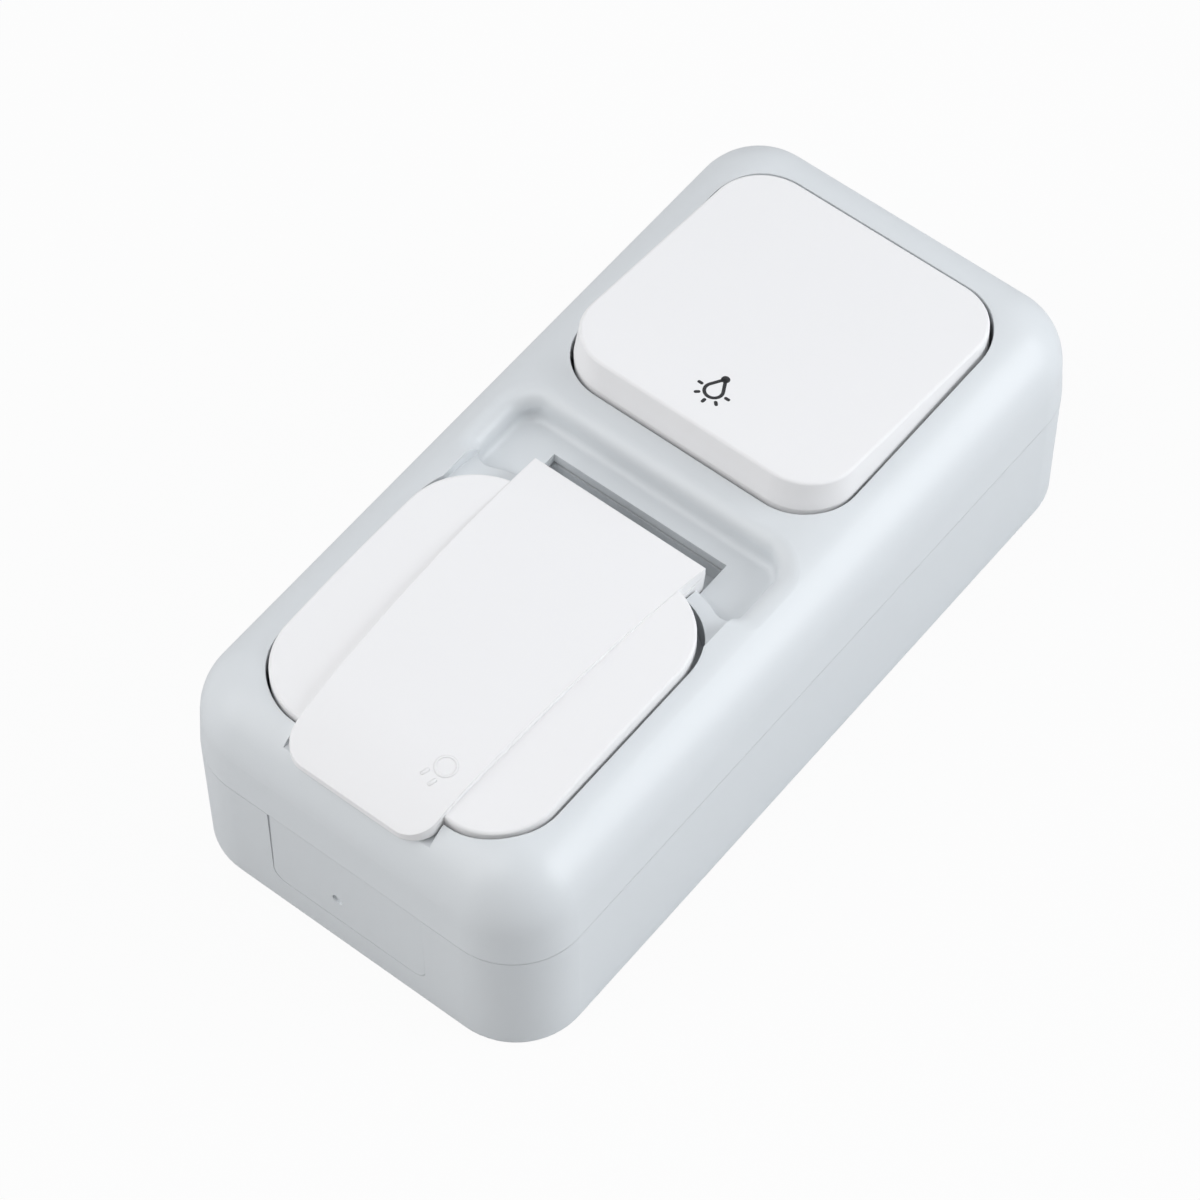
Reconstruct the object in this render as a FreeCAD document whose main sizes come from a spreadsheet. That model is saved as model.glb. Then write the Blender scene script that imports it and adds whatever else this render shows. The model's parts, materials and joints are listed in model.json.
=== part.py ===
import FreeCAD, Part
import math
import os
from types import SimpleNamespace

import Sketcher
from FreeCAD import Placement, Rotation, Vector

# A surface-mounted weatherproof unit: a rocker switch at the +Y end and an earthed socket
# under a sprung lid at the -Y end, in one two-part housing.
# It lies on its back: origin at the centre of the back face, +Z out of the wall,
# +Y towards the switch. All sizes are millimetres and degrees.

DIMENSIONS = {
    # Housing
    "width": 74.0,
    "length": 151.6,
    "corner_radius": 13.2,
    "base_draft": 0.6,
    "cover_draft": 3.6,
    "seam_height": 26.0,
    "seam_gap": 0.1,
    "cover_top": 45.5,
    "top_round": 12.4,
    "back_round": 0.8,
    "base_wall": 3.6,
    "base_floor": 2.5,
    "cover_wall": 3.0,
    "cover_ceiling": 37.6,
    "groove_width": 1.6,
    "groove_depth": 1.2,
    "gasket_play": 0.1,
    "switch_end": 38.4,
    "socket_end": 36.2,
    # Cable entry in the -Y end wall
    "entry_width": 31.6,
    "entry_bottom": 7.0,
    "entry_corner": 2.5,
    "entry_play": 0.06,
    "entry_inset": 0.22,
    "entry_flange": 2.0,
    "entry_flange_thickness": 1.5,
    "entry_dimple_radius": 1.0,
    "entry_dimple_depth": 0.5,
    "entry_dimple_x": -2.2,
    "entry_dimple_rise": 6.4,
    # Screws that hold the housing to the wall and the cover to the base
    "wall_hole_x": 27.0,
    "wall_hole_radius": 2.25,
    "boss_radius": 3.0,
    "boss_bore": 1.5,
    "boss_bore_depth": 14.0,
    "screw_radius": 1.4,
    "screw_passage": 1.7,
    "screw_head_radius": 2.7,
    "screw_head_height": 2.0,
    "screw_head_bevel": 0.5,
    "screw_length": 13.0,
    "screw_slot": 0.8,
    "screw_slot_depth": 1.0,
    "switch_boss_x": 20.0,
    "switch_boss_y": 20.5,
    "socket_boss_x": 18.5,
    "socket_boss_y": 18.5,
    # Valley between the two halves of the cover
    "valley_floor": 39.6,
    "valley_over": 1.0,
    "valley_half_width": 26.5,
    "valley_corner": 4.0,
    "valley_switch_edge": 33.5,
    "valley_foot": 1.4,
    "pad_corner_x": 21.5,
    "pad_corner_radius": 11.0,
    "pad_roll": 2.7,
    "ledge_width": 2.8,
    "ledge_corner": 2.4,
    "ledge_high": 45.4,
    "ledge_low": 41.8,
    # Rocker and its well
    "rocker_well": 55.6,
    "rocker_well_corner": 10.5,
    "rocker_deck": 34.0,
    "deck_thickness": 2.0,
    "well_wall": 2.0,
    "deck_opening": 36.0,
    "deck_opening_corner": 6.0,
    "rocker_gap": 0.5,
    "rocker_pivot": 43.0,
    "rocker_tilt": 6.5,
    "rocker_crown": 6.0,
    "rocker_skirt": 4.5,
    "rocker_draft": 5.0,
    "rocker_edge_round": 0.6,
    "rocker_wall": 2.2,
    "rocker_top_wall": 2.5,
    # Switch mechanism
    "cradle_width": 27.2,
    "cradle_length": 20.0,
    "cradle_plate": 2.0,
    "cradle_hub_radius": 3.0,
    "cradle_rim": 1.6,
    "cradle_rim_height": 3.0,
    "cradle_play": 0.1,
    "pivot_pin_radius": 1.5,
    "pivot_play": 0.05,
    "ear_thickness": 3.0,
    "ear_gap": 0.4,
    "ear_half_length": 4.0,
    "ear_root": 24.0,
    "plunger_tube_radius": 3.2,
    "plunger_tube_drop": 12.0,
    "plunger_bore_top": 1.5,
    "plunger_radius": 1.8,
    "plunger_play": 0.05,
    "plunger_head_drop": 8.0,
    "plunger_clearance": 0.05,
    "plunger_spring_wire": 0.25,
    "plunger_spring_turns": 3.0,
    "spring_wire_sides": 5,
    "contact_pivot": 22.0,
    "contact_tilt": 5.0,
    "contact_thickness": 0.8,
    "contact_width": 6.0,
    "contact_half_length": 11.0,
    "contact_tip_reach": 9.0,
    "contact_tip_radius": 1.5,
    "contact_tip_height": 0.6,
    "contact_clearance": 0.15,
    "strip_thickness": 0.8,
    "switch_bottom": 8.0,
    "switch_size": 37.0,
    "switch_corner": 6.5,
    "switch_wall": 2.5,
    "switch_flange": 40.0,
    "switch_flange_corner": 8.0,
    "switch_flange_thickness": 2.0,
    "switch_seal_thickness": 0.8,
    "switch_screw_reach": 22.0,
    "switch_lug": 20.0,
    "lug_thickness": 2.5,
    "lug_half_width": 4.0,
    "clamp_size": 6.0,
    "clamp_offset": 10.5,
    "wire_radius": 1.3,
    "clamp_screw_radius": 1.2,
    # Lid and hinge
    "lid_recess_width": 55.4,
    "lid_recess_length": 57.0,
    "lid_recess_corner": 12.0,
    "lid_rear_corner": 14.0,
    "lid_deck": 36.9,
    "lid_gap": 0.5,
    "lid_skirt_bottom": 41.5,
    "lid_skirt_wall": 2.0,
    "lid_underside": 44.0,
    "wing_crown": 47.4,
    "wing_arch_radius": 230.0,
    "band_crown": 48.4,
    "band_arch_radius": 190.0,
    "band_crown_shift": 4.0,
    "band_rear_half": 17.4,
    "band_front_half": 14.4,
    "band_underside": 42.9,
    "band_rear_reach": 3.6,
    "tab_reach": 34.0,
    "tab_corner": 5.0,
    "tab_roll_reach": 21.0,
    "tab_roll_radius": 40.0,
    "tab_tip_top": 44.2,
    "tab_notch_floor": 41.9,
    "tab_notch_play": 0.35,
    "lid_edge_round": 0.5,
    "lid_rear_skirt": 43.5,
    "hinge_reach": 30.4,
    "hinge_height": 37.6,
    "hinge_pin_radius": 1.0,
    "hinge_play": 0.05,
    "knuckle_radius": 2.6,
    "knuckle_gap": 0.3,
    "slot_half_width": 17.7,
    "slot_far_reach": 8.8,
    "slot_drop": 4.2,
    "pin_seat": 3.2,
    "spring_bay": 5.0,
    "lid_spring_wire": 0.3,
    "lid_spring_turns": 3.0,
    "collar_wall": 1.8,
    "collar_gap": 0.6,
    "lid_gasket_thickness": 1.6,
    "lid_gasket_width": 2.4,
    "lid_gasket_gap": 0.3,
    # Socket
    "plug_radius": 19.5,
    "plug_depth": 17.5,
    "insert_wall": 1.5,
    "insert_floor": 2.5,
    "insert_flange_radius": 22.6,
    "insert_flange_thickness": 2.0,
    "socket_seal_thickness": 0.6,
    "insert_play": 0.3,
    "pin_spacing": 19.0,
    "pin_hole_radius": 3.0,
    "earth_reach": 17.8,
    "earth_width": 6.0,
    "earth_height": 14.0,
    "earth_bulge": 1.6,
    "earth_slot_play": 0.5,
    "centre_screw_recess": 1.0,
    "socket_bottom": 7.0,
    "socket_radius": 20.0,
    "socket_lug": 12.0,
    "socket_screw_reach": 24.0,
    "contact_tube_radius": 3.4,
    "contact_bore_radius": 2.45,
    "contact_slit": 1.0,
    "chamber_play": 0.5,
    "chamber_floor": 2.0,
}

doc = FreeCAD.newDocument("weatherproof_switch_and_socket")
sheet = doc.addObject("Spreadsheet::Sheet", "sizes")
for row, (alias, value) in enumerate(DIMENSIONS.items(), start=1):
    sheet.set(f"A{row}", alias)
    sheet.set(f"B{row}", str(value))
    sheet.setAlias(f"B{row}", alias)
doc.recompute()


class Size:
    """A length that carries its value and the sheet expression that gives it."""

    def __init__(self, value, text):
        self.value = value
        self.text = text

    def __add__(self, other):
        return Size(self.value + number(other), f"({self.text} + {words(other)})")

    def __radd__(self, other):
        return Size(number(other) + self.value, f"({words(other)} + {self.text})")

    def __sub__(self, other):
        return Size(self.value - number(other), f"({self.text} - {words(other)})")

    def __rsub__(self, other):
        return Size(number(other) - self.value, f"({words(other)} - {self.text})")

    def __mul__(self, other):
        return Size(self.value * number(other), f"({self.text} * {words(other)})")

    __rmul__ = __mul__

    def __truediv__(self, other):
        return Size(self.value / number(other), f"({self.text} / {words(other)})")

    def __neg__(self):
        return Size(-self.value, f"(0 - {self.text})")

    def root(self):
        return Size(math.sqrt(self.value), f"sqrt({self.text})")


def number(size):
    return size.value if isinstance(size, Size) else float(size)


def words(size):
    return size.text if isinstance(size, Size) else repr(float(size))


d = SimpleNamespace(**{alias: Size(float(sheet.get(alias)), f"sizes.{alias}") for alias in DIMENSIONS})
nodes = []


def bind(item, path, size):
    """Drive one property from the sheet."""
    if isinstance(size, Size):
        item.setExpression(path, size.text)


def as_node(item, name):
    item.Label = name
    nodes.append(item)
    return item


def new_body(name):
    return as_node(doc.addObject("PartDesign::Body", name), name)


def place(item, x=0, y=0, z=0, axis=Vector(0, 0, 1), angle=0):
    """Put an object at a point, turned about one axis."""
    item.Placement = Placement(Vector(number(x), number(y), number(z)), Rotation(axis, number(angle)))
    for letter, size in zip("xyz", (x, y, z)):
        bind(item, f"Placement.Base.{letter}", size)
    bind(item, "Placement.Rotation.Angle", angle)
    return item


def new_sketch(body, role="XY_Plane", x=0, y=0, z=0):
    """An empty sketch on one of the body's own planes, shifted along that plane's axes."""
    sketch = body.newObject("Sketcher::SketchObject", "sketch")
    support = next(plane for plane in body.Origin.OriginFeatures if plane.Role == role)
    sketch.AttachmentSupport = (support, [""])
    sketch.MapMode = "FlatFace"
    sketch.AttachmentOffset = Placement(Vector(number(x), number(y), number(z)), Rotation())
    for letter, size in zip("xyz", (x, y, z)):
        bind(sketch, f"AttachmentOffset.Base.{letter}", size)
    return sketch


def constrain(sketch, size, *reference):
    index = sketch.addConstraint(Sketcher.Constraint(*reference, number(size)))
    if isinstance(size, Size):
        name = f"size_{index}"
        sketch.renameConstraint(index, name)
        bind(sketch, f"Constraints.{name}", size)


def fix_point(sketch, geometry, point, x, y):
    """Hold a point of the sketch at its coordinates."""
    for kind, size, axis in (("DistanceX", x, -2), ("DistanceY", y, -1)):
        if number(size) == 0:
            sketch.addConstraint(Sketcher.Constraint("PointOnObject", geometry, point, axis))
        else:
            constrain(sketch, size, kind, -1, 1, geometry, point)


def outline(sketch, *path):
    """A closed outline. A step is (x, y) for a line to that point, or (x, y, radius) for an
    arc to it: a positive radius turns left, a negative one right."""
    corners = [(number(step[0]), number(step[1])) for step in path]
    pieces = []
    for step, end, start in zip(path, corners, corners[-1:] + corners[:-1]):
        first, last = Vector(*start, 0), Vector(*end, 0)
        if len(step) == 2:
            index = sketch.addGeometry(Part.LineSegment(first, last))
            pieces.append((index, 1, 2))
            continue
        radius = number(step[2])
        chord = last - first
        left = Vector(-chord.y, chord.x, 0).normalize()
        rise = math.sqrt(max(radius * radius - chord.Length**2 / 4, 0))
        centre = (first + last) / 2 + left * math.copysign(rise, radius)
        ends = [math.atan2(point.y - centre.y, point.x - centre.x) for point in (first, last)]
        if radius < 0:
            ends.reverse()
        if ends[1] < ends[0]:
            ends[1] += 2 * math.pi
        arc = Part.ArcOfCircle(Part.Circle(centre, Vector(0, 0, 1), abs(radius)), *ends)
        index = sketch.addGeometry(arc)
        pieces.append((index, 1, 2) if radius > 0 else (index, 2, 1))
        constrain(sketch, step[2] if radius > 0 else -step[2], "Radius", index)
    for (index, _, end), (following, start, _), step in zip(pieces, pieces[1:] + pieces[:1], path):
        sketch.addConstraint(Sketcher.Constraint("Coincident", index, end, following, start))
        fix_point(sketch, following, start, step[0], step[1])


def rectangle(sketch, width, length, corner=None, x=0, y=0, top_corner=None):
    """A rectangle centred on (x, y), with rounded corners if a radius is given, and another
    radius for the two corners at the top if that is given too."""
    right, left = x + width / 2, x - width / 2
    top, bottom = y + length / 2, y - length / 2
    if corner is None:
        outline(sketch, (right, bottom), (right, top), (left, top), (left, bottom))
        return
    upper = top_corner or corner
    outline(
        sketch,
        (right - corner, bottom),
        (right, bottom + corner, corner),
        (right, top - upper),
        (right - upper, top, upper),
        (left + upper, top),
        (left, top - upper, upper),
        (left, bottom + corner),
        (left + corner, bottom, corner),
    )


def circle(sketch, radius, x=0, y=0):
    centre = Vector(number(x), number(y), 0)
    index = sketch.addGeometry(Part.Circle(centre, Vector(0, 0, 1), number(radius)))
    constrain(sketch, radius, "Radius", index)
    fix_point(sketch, index, 3, x, y)


def extrude(kind, body, name, sketch, length, reverse=False, taper=None, both=False):
    feature = body.newObject(f"PartDesign::{kind}", name)
    feature.Profile = sketch
    feature.Length = number(length)
    bind(feature, "Length", length)
    feature.Reversed = reverse
    if both:
        feature.SideType = "Symmetric"
    if taper is not None:
        feature.TaperAngle = number(taper)
        bind(feature, "TaperAngle", taper)
    return feature


def pad(*arguments, **options):
    return extrude("Pad", *arguments, **options)


def pocket(*arguments, **options):
    return extrude("Pocket", *arguments, **options)


def round_edges(body, name, feature, radius, chosen):
    """Fillet the edges of a feature whose middle points satisfy a test."""
    doc.recompute()
    names = []
    for index, edge in enumerate(feature.Shape.Edges, start=1):
        middle = edge.valueAt((edge.FirstParameter + edge.LastParameter) / 2)
        if chosen(middle, edge):
            names.append(f"Edge{index}")
    fillet = body.newObject("PartDesign::Fillet", name)
    fillet.Base = (feature, names)
    fillet.Radius = number(radius)
    bind(fillet, "Radius", radius)
    return fillet


def near(value, size, tolerance=0.01):
    return abs(value - number(size)) < tolerance


switch_y = d.length / 2 - d.switch_end
socket_y = d.socket_end - d.length / 2
hinge_y = socket_y + d.hinge_reach
slot_far_edge = hinge_y + d.slot_far_reach
slot_floor = d.hinge_height - d.slot_drop
band_rear = hinge_y + d.band_rear_reach
band_crown_y = socket_y - d.band_crown_shift
tab_front = socket_y - d.tab_reach
cover_bottom = d.seam_height + d.seam_gap
switch_deck_bottom = d.rocker_deck - d.deck_thickness
socket_deck_bottom = d.lid_deck - d.deck_thickness
boss_places = (
    (d.switch_boss_x, switch_y + d.switch_boss_y, switch_deck_bottom, d.rocker_deck),
    (-d.switch_boss_x, switch_y + d.switch_boss_y, switch_deck_bottom, d.rocker_deck),
    (d.socket_boss_x, socket_y - d.socket_boss_y, socket_deck_bottom, d.lid_deck),
    (-d.socket_boss_x, socket_y - d.socket_boss_y, socket_deck_bottom, d.lid_deck),
)


def ring(sketch, width, length, corner, thickness):
    """A band of even thickness inside a rounded rectangle."""
    rectangle(sketch, width, length, corner)
    rectangle(sketch, width - 2 * thickness, length - 2 * thickness, corner - thickness)


def seam_groove(body):
    """The gasket groove that runs round the top edge of the base."""
    inset = (d.base_wall - d.groove_width) / 2
    sketch = new_sketch(body, z=d.seam_height)
    ring(sketch, d.width - 2 * inset, d.length - 2 * inset, d.corner_radius - inset, d.groove_width)
    return pocket(body, "gasket_groove", sketch, d.groove_depth)


def entry_outline(sketch, play, margin=0):
    """The cable entry: a U open at the seam, with rounded lower corners."""
    half = d.entry_width / 2 - play + margin
    low = d.entry_bottom + play - margin
    corner = d.entry_corner - play + margin
    outline(
        sketch,
        (half - corner, low),
        (half, low + corner, corner),
        (half, d.seam_height),
        (-half, d.seam_height),
        (-half, low + corner),
        (-half + corner, low, corner),
    )


def make_base():
    body = new_body("base_box")
    sketch = new_sketch(body, z=d.seam_height)
    rectangle(sketch, d.width, d.length, d.corner_radius)
    shell = pad(body, "outer_form", sketch, d.seam_height, reverse=True, taper=-d.base_draft)
    round_edges(body, "back_edge", shell, d.back_round, lambda middle, edge: near(middle.z, 0))

    sketch = new_sketch(body, z=d.seam_height)
    inside = (d.width - 2 * d.base_wall, d.length - 2 * d.base_wall, d.corner_radius - d.base_wall)
    rectangle(sketch, *inside)
    pocket(body, "cavity", sketch, d.seam_height - d.base_floor)
    seam_groove(body)

    sketch = new_sketch(body, "XZ_Plane", z=d.length / 2)
    entry_outline(sketch, 0)
    pocket(body, "entry_slot", sketch, d.base_wall)

    for x, y, top, _ in boss_places:
        sketch = new_sketch(body, z=d.base_floor)
        circle(sketch, d.boss_radius, x, y)
        pad(body, "cover_boss", sketch, top - d.base_floor)
        sketch = new_sketch(body, z=top)
        circle(sketch, d.boss_bore, x, y)
        pocket(body, "boss_bore", sketch, d.boss_bore_depth)

    for y, reach, top in (
        (switch_y, d.switch_screw_reach, d.switch_lug),
        (socket_y, d.socket_screw_reach, d.socket_lug),
    ):
        for side in (1, -1):
            sketch = new_sketch(body, z=d.base_floor)
            circle(sketch, d.boss_radius, 0, y + side * reach)
            pad(body, "mechanism_post", sketch, top - d.base_floor)
            sketch = new_sketch(body, z=top)
            circle(sketch, d.boss_bore, 0, y + side * reach)
            pocket(body, "post_bore", sketch, top - d.base_floor)

    sketch = new_sketch(body, z=d.base_floor)
    for y in (switch_y, socket_y):
        for side in (1, -1):
            circle(sketch, d.wall_hole_radius, side * d.wall_hole_x, y)
    pocket(body, "wall_holes", sketch, d.base_floor)


def make_entry_insert():
    body = new_body("cable_entry_insert")
    inner_face = d.length / 2 - d.base_wall
    sketch = new_sketch(body, "XZ_Plane", z=inner_face)
    entry_outline(sketch, d.entry_play)
    pad(body, "plate", sketch, d.base_wall - d.entry_inset)
    sketch = new_sketch(body, "XZ_Plane", z=inner_face)
    entry_outline(sketch, d.entry_play, d.entry_flange)
    pad(body, "inner_flange", sketch, d.entry_flange_thickness, reverse=True)
    sketch = new_sketch(body, "XZ_Plane", z=d.length / 2 - d.entry_inset)
    circle(sketch, d.entry_dimple_radius, d.entry_dimple_x, d.entry_bottom + d.entry_dimple_rise)
    pocket(body, "dimple", sketch, d.entry_dimple_depth)
    seam_groove(body)


def make_box_gasket():
    body = new_body("box_gasket")
    inset = (d.base_wall - d.groove_width) / 2 + d.gasket_play
    sketch = new_sketch(body, z=d.seam_height - d.groove_depth)
    band = d.groove_width - 2 * d.gasket_play
    ring(sketch, d.width - 2 * inset, d.length - 2 * inset, d.corner_radius - inset, band)
    pad(body, "cord", sketch, d.groove_depth + d.seam_gap)


def cut_valley(body):
    """The valley between the two halves: a floor bounded by the rails, by the rolled edge of
    the switch half and by a ledge that runs round the rear corners of the lid."""
    half = d.valley_half_width
    edge = switch_y - d.valley_switch_edge
    reach = half - d.pad_corner_x
    pad_drop = (d.pad_corner_radius * d.pad_corner_radius - reach * reach).root()
    tip = edge + d.pad_corner_radius - pad_drop
    ledge_x = d.lid_recess_width / 2 - d.lid_recess_corner
    ledge_y = socket_y + d.lid_recess_length / 2 - d.lid_recess_corner
    ledge_radius = d.lid_recess_corner + d.ledge_width
    ledge_run = half - ledge_x
    ledge_side = ledge_y + (ledge_radius * ledge_radius - ledge_run * ledge_run).root()
    sketch = new_sketch(body, z=d.valley_floor)
    outline(
        sketch,
        (half, ledge_side, -ledge_radius),
        (half, tip),
        (d.pad_corner_x, edge, -d.pad_corner_radius),
        (-d.pad_corner_x, edge),
        (-half, tip, -d.pad_corner_radius),
        (-half, ledge_side),
        (-ledge_x, ledge_y + ledge_radius, -ledge_radius),
        (ledge_x, ledge_y + ledge_radius),
    )
    top = d.cover_top + d.valley_over
    feature = pocket(body, "valley", sketch, top - d.valley_floor, reverse=True)
    for name, radius, y in (
        ("pad_corners", d.valley_corner, tip),
        ("ledge_corners", d.ledge_corner, ledge_side),
    ):
        feature = round_edges(
            body,
            name,
            feature,
            radius,
            lambda middle, edge: near(abs(middle.x), half) and near(middle.y, y),
        )
    wall_foot = number(d.valley_floor + d.valley_foot)
    feature = round_edges(
        body,
        "valley_roll",
        feature,
        d.pad_roll,
        lambda middle, edge: edge.BoundBox.ZMin > wall_foot
        and number(ledge_side) < middle.y < number(tip)
        and abs(middle.x) < number(half + d.valley_over),
    )
    round_edges(
        body,
        "valley_foot",
        feature,
        d.valley_foot,
        lambda middle, edge: near(middle.z, d.valley_floor),
    )

    sketch = new_sketch(body, "YZ_Plane")
    outline(
        sketch,
        (ledge_y, top),
        (ledge_y, d.ledge_high),
        (ledge_y + ledge_radius, d.ledge_low),
        (ledge_y + ledge_radius, top),
    )
    pocket(body, "ledge", sketch, 2 * half, both=True)


def make_cover():
    body = new_body("front_cover")
    sketch = new_sketch(body, z=cover_bottom)
    rectangle(sketch, d.width, d.length, d.corner_radius)
    shell = pad(body, "outer_form", sketch, d.cover_top - cover_bottom, taper=-d.cover_draft)
    round_edges(body, "top_round", shell, d.top_round, lambda middle, edge: near(middle.z, d.cover_top))

    sketch = new_sketch(body, z=cover_bottom)
    rectangle(
        sketch,
        d.width - 2 * d.cover_wall,
        d.length - 2 * d.cover_wall,
        d.corner_radius - d.cover_wall,
    )
    pocket(body, "cavity", sketch, d.cover_ceiling - cover_bottom, reverse=True)

    cut_valley(body)
    add_well(body, switch_y, d.rocker_well, d.rocker_well, d.rocker_well_corner, d.rocker_deck)
    add_well(
        body,
        socket_y,
        d.lid_recess_width,
        d.lid_recess_length,
        d.lid_recess_corner,
        d.lid_deck,
    )
    sketch = new_sketch(body, y=switch_y, z=d.rocker_deck)
    rectangle(sketch, d.deck_opening, d.deck_opening, d.deck_opening_corner)
    pocket(body, "switch_opening", sketch, d.deck_thickness)

    sketch = new_sketch(body, y=socket_y, z=d.lid_deck)
    ring(sketch, *collar_size(0), d.collar_wall)
    pad(body, "collar", sketch, collar_top - d.lid_deck)
    sketch = new_sketch(body, y=socket_y, z=d.lid_deck)
    circle(sketch, insert_radius + d.insert_play)
    pocket(body, "socket_opening", sketch, d.deck_thickness)

    hinge_trough(body)

    notch_half = d.band_front_half + d.tab_notch_play
    notch_rear = socket_y - d.lid_recess_length / 2 + d.lid_gap
    notch_front = -d.length / 2 - d.lid_gap
    sketch = new_sketch(body, z=d.tab_notch_floor)
    outline(
        sketch,
        (notch_half, notch_front),
        (notch_half, notch_rear),
        (-notch_half, notch_rear),
        (-notch_half, notch_front),
    )
    pocket(body, "tab_notch", sketch, d.cover_top - d.tab_notch_floor, reverse=True)

    for x, y, _, seat in boss_places:
        sketch = new_sketch(body, z=seat)
        circle(sketch, d.screw_passage, x, y)
        pocket(body, "screw_passage", sketch, d.deck_thickness)


def add_well(body, y, width, length, corner, deck):
    """A well in the cover: walls and a deck added under the ceiling, then the well cut out."""
    bottom = deck - d.deck_thickness
    sketch = new_sketch(body, y=y, z=bottom)
    rectangle(sketch, width + 2 * d.well_wall, length + 2 * d.well_wall, corner + d.well_wall)
    pad(body, "well_wall", sketch, d.cover_ceiling - bottom)
    sketch = new_sketch(body, y=y, z=deck)
    rectangle(sketch, width, length, corner)
    pocket(body, "well", sketch, d.cover_top + d.valley_over - deck, reverse=True)


def hinge_trough(body):
    """A trough behind the lid that the lid's rear edge swings down into, with pin holes."""
    wall = d.deck_thickness
    half = d.slot_half_width + d.pin_seat + wall
    front = socket_y + d.lid_recess_length / 2 - 2 * wall
    trough_bottom = slot_floor - wall
    sketch = new_sketch(body, z=trough_bottom)
    outline(
        sketch,
        (half, front),
        (half, slot_far_edge + wall),
        (-half, slot_far_edge + wall),
        (-half, front),
    )
    pad(body, "trough", sketch, d.lid_deck - trough_bottom)
    sketch = new_sketch(body, z=d.cover_top)
    outline(
        sketch,
        (d.slot_half_width, front + wall),
        (d.slot_half_width, slot_far_edge),
        (-d.slot_half_width, slot_far_edge),
        (-d.slot_half_width, front + wall),
    )
    pocket(body, "hinge_slot", sketch, d.cover_top - slot_floor)
    sketch = new_sketch(body, "YZ_Plane")
    circle(sketch, d.hinge_pin_radius, hinge_y, d.hinge_height)
    pocket(body, "pin_holes", sketch, 2 * (d.slot_half_width + d.pin_seat), both=True)


def collar_size(grow):
    """Width, length and corner of the collar round the socket, grown by a margin."""
    inset = d.lid_gap + d.lid_skirt_wall + d.collar_gap - grow
    return (
        d.lid_recess_width - 2 * inset,
        d.lid_recess_length - 2 * inset,
        d.lid_rear_corner - inset,
    )


collar_top = d.lid_underside - d.lid_gasket_thickness - d.lid_gasket_gap
insert_radius = d.plug_radius + d.insert_wall
insert_seat = d.lid_deck + d.socket_seal_thickness
insert_top = insert_seat + d.insert_flange_thickness
plug_floor = insert_top - d.plug_depth
insert_bottom = plug_floor - d.insert_floor


def rocker_pose(item):
    return place(item, 0, switch_y, d.rocker_pivot, Vector(1, 0, 0), -d.rocker_tilt)


def make_rocker():
    """The rocker is drawn about its pivot, level, and placed tilted to its off position."""
    size = d.rocker_well - 2 * d.rocker_gap
    corner = d.rocker_well_corner - d.rocker_gap
    body = rocker_pose(new_body("rocker_cap"))
    sketch = new_sketch(body)
    rectangle(sketch, size, size, corner)
    pad(body, "crown", sketch, d.rocker_crown, taper=-d.rocker_draft)
    sketch = new_sketch(body)
    rectangle(sketch, size, size, corner)
    skirt = pad(body, "skirt", sketch, d.rocker_skirt, reverse=True, taper=-d.rocker_draft)
    round_edges(
        body,
        "top_edge",
        skirt,
        d.rocker_edge_round,
        lambda middle, edge: near(middle.z, d.rocker_crown),
    )
    ceiling = d.rocker_crown - d.rocker_top_wall
    inset = d.rocker_wall + d.rocker_gap
    sketch = new_sketch(body, z=-d.rocker_skirt)
    rectangle(sketch, size - 2 * inset, size - 2 * inset, corner - inset)
    pocket(body, "hollow", sketch, d.rocker_skirt + ceiling, reverse=True)
    sketch = new_sketch(body, z=ceiling)
    rib_y = d.cradle_length / 2 + d.cradle_play + d.cradle_rim / 2
    for side in (1, -1):
        rectangle(sketch, d.cradle_length, d.cradle_rim, None, 0, side * rib_y)
    pad(body, "cradle_ribs", sketch, d.cradle_rim_height, reverse=True)


def make_cradle():
    body = rocker_pose(new_body("rocker_cradle"))
    plate_bottom = d.rocker_crown - d.rocker_top_wall - d.cradle_plate
    sketch = new_sketch(body, z=plate_bottom)
    rectangle(sketch, d.cradle_width, d.cradle_length, d.cradle_rim)
    pad(body, "plate", sketch, d.cradle_plate)
    sketch = new_sketch(body, "YZ_Plane")
    circle(sketch, d.cradle_hub_radius)
    pad(body, "hub", sketch, d.cradle_width, both=True)
    sketch = new_sketch(body, "YZ_Plane")
    circle(sketch, d.pivot_pin_radius)
    pad(body, "pins", sketch, d.cradle_width + 2 * (d.ear_gap + d.ear_thickness), both=True)
    sketch = new_sketch(body)
    circle(sketch, d.plunger_tube_radius)
    pad(body, "plunger_tube", sketch, d.plunger_tube_drop, reverse=True)
    sketch = new_sketch(body, z=-d.plunger_bore_top)
    circle(sketch, d.plunger_radius + d.plunger_play)
    pocket(body, "plunger_bore", sketch, d.plunger_tube_drop - d.plunger_bore_top)


def make_plunger():
    tip = d.rocker_pivot - d.contact_pivot - d.contact_thickness - d.plunger_clearance
    body = rocker_pose(new_body("plunger"))
    sketch = new_sketch(body, "XZ_Plane")
    outline(
        sketch,
        (0, -tip),
        (d.plunger_radius, d.plunger_radius - tip, d.plunger_radius),
        (d.plunger_radius, -d.plunger_head_drop),
        (0, -d.plunger_head_drop),
    )
    turned = body.newObject("PartDesign::Revolution", "turned_form")
    turned.Profile = sketch
    turned.ReferenceAxis = (sketch, ["V_Axis"])
    turned.Angle = 360


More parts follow.
